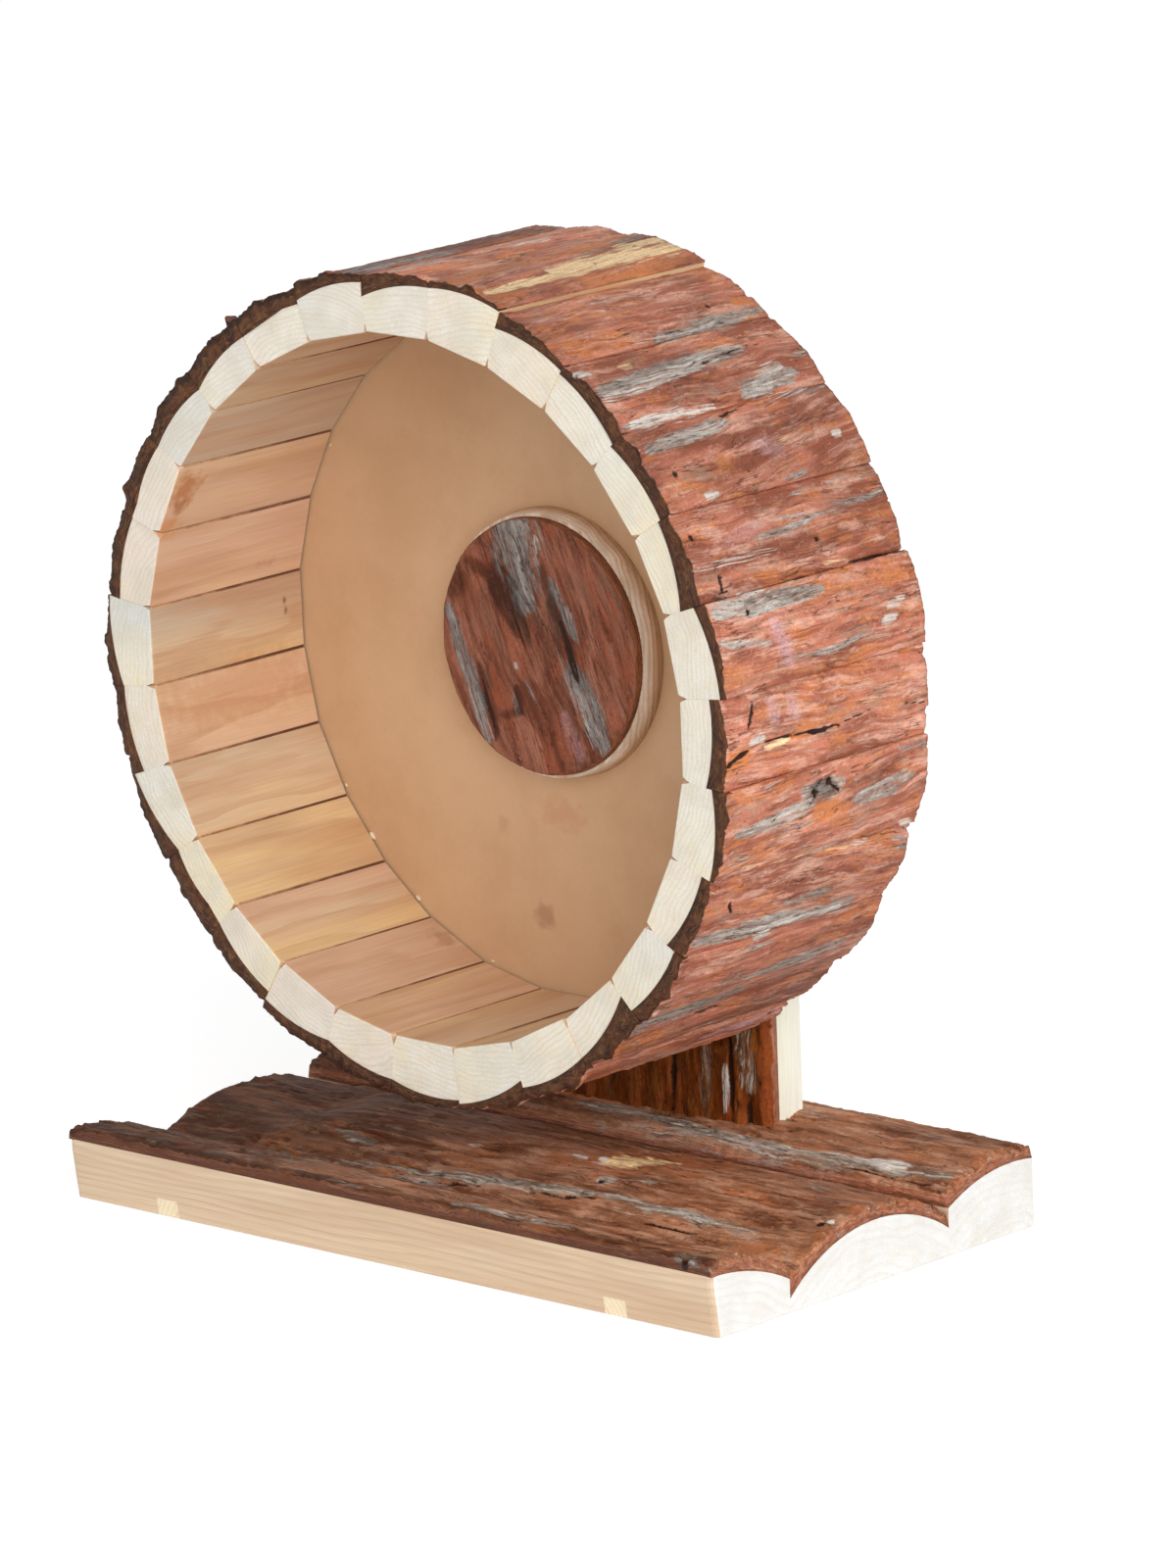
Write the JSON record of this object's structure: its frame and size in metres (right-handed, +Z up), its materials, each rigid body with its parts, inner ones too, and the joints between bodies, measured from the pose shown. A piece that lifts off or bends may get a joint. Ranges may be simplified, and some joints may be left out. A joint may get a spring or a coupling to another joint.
{
  "type": "rodent exercise wheel",
  "caption": "Free-standing wheel for a small pet: a drum of bark-edged wooden slats, closed at the rear, that turns on ball bearings on a post and a base of bark slabs.",
  "frame": {"origin": "centre of the base's footprint, on the surface that it stands on", "axes": "+X to the right seen from the open side, +Y along the axle to the rear (the drum opens towards -Y), +Z up"},
  "size_m": [0.244, 0.135, 0.276],
  "materials": {
    "slat_pine": "sawn pine, warm tan inside, cream end grain, reddish-brown bark outside",
    "base_bark": "dark weathered pine bark over pale sawn wood",
    "post_bark": "dark pine bark in front, pale sawn sides and back",
    "batten_pine": "planed pale pine",
    "hardboard": "smooth tan hardboard",
    "cover_bark": "smooth reddish-brown bark face, pale sawn rim",
    "block_pine": "turned pine",
    "zinc_steel": "bright zinc plating",
    "bearing_steel": "ground bearing steel",
    "shield_steel": "pressed sheet steel",
    "nylon": "natural nylon"
  },
  "bodies": {
    "stand": {"base_front_slab": "base_bark", "base_middle_slab": "base_bark", "base_rear_slab": "base_bark", "left_batten": "batten_pine", "right_batten": "batten_pine", "batten_screws": "zinc_steel", "post": "post_bark", "post_screws": "zinc_steel", "axle_bolt": "zinc_steel", "rear_washer": "zinc_steel", "jam_nut": "zinc_steel", "spacer": "zinc_steel", "rear_inner_ring": "bearing_steel", "front_inner_ring": "bearing_steel", "front_washer": "zinc_steel", "lock_nut": "zinc_steel", "lock_nut_ring": "nylon"},
    "wheel": {"slat_01": "slat_pine", "slat_02": "slat_pine", "slat_03": "slat_pine", "slat_04": "slat_pine", "slat_05": "slat_pine", "slat_06": "slat_pine", "slat_07": "slat_pine", "slat_08": "slat_pine", "slat_09": "slat_pine", "slat_10": "slat_pine", "slat_11": "slat_pine", "slat_12": "slat_pine", "slat_13": "slat_pine", "slat_14": "slat_pine", "slat_15": "slat_pine", "slat_16": "slat_pine", "slat_17": "slat_pine", "slat_18": "slat_pine", "slat_19": "slat_pine", "slat_20": "slat_pine", "slat_21": "slat_pine", "slat_22": "slat_pine", "slat_23": "slat_pine", "slat_24": "slat_pine", "slat_25": "slat_pine", "slat_26": "slat_pine", "slat_27": "slat_pine", "slat_28": "slat_pine", "back_panel": "hardboard", "hub_cover": "cover_bark", "hub_block": "block_pine", "block_screws": "zinc_steel", "rear_outer_ring": "bearing_steel", "front_outer_ring": "bearing_steel", "rear_shields": "shield_steel", "front_shields": "shield_steel"},
    "rear_cage": {"rear_ball_cage": "shield_steel", "rear_balls": "bearing_steel"},
    "front_cage": {"front_ball_cage": "shield_steel", "front_balls": "bearing_steel"}
  },
  "joints": [
    {"name": "wheel_spin", "type": "hinge", "parent": "stand", "child": "wheel", "pos_m": [0, 0.0285, 0.1593], "axis": [0, 1, 0], "continuous": true},
    {"name": "rear_cage_spin", "type": "hinge", "parent": "stand", "child": "rear_cage", "pos_m": [0, 0.032, 0.1593], "axis": [0, 1, 0], "continuous": true},
    {"name": "front_cage_spin", "type": "hinge", "parent": "stand", "child": "front_cage", "pos_m": [0, 0.025, 0.1593], "axis": [0, 1, 0], "continuous": true}
  ],
  "couplings": [
    {"joint": "rear_cage_spin", "follows": "wheel_spin", "ratio": 0.63233},
    {"joint": "front_cage_spin", "follows": "wheel_spin", "ratio": 0.63233}
  ]
}
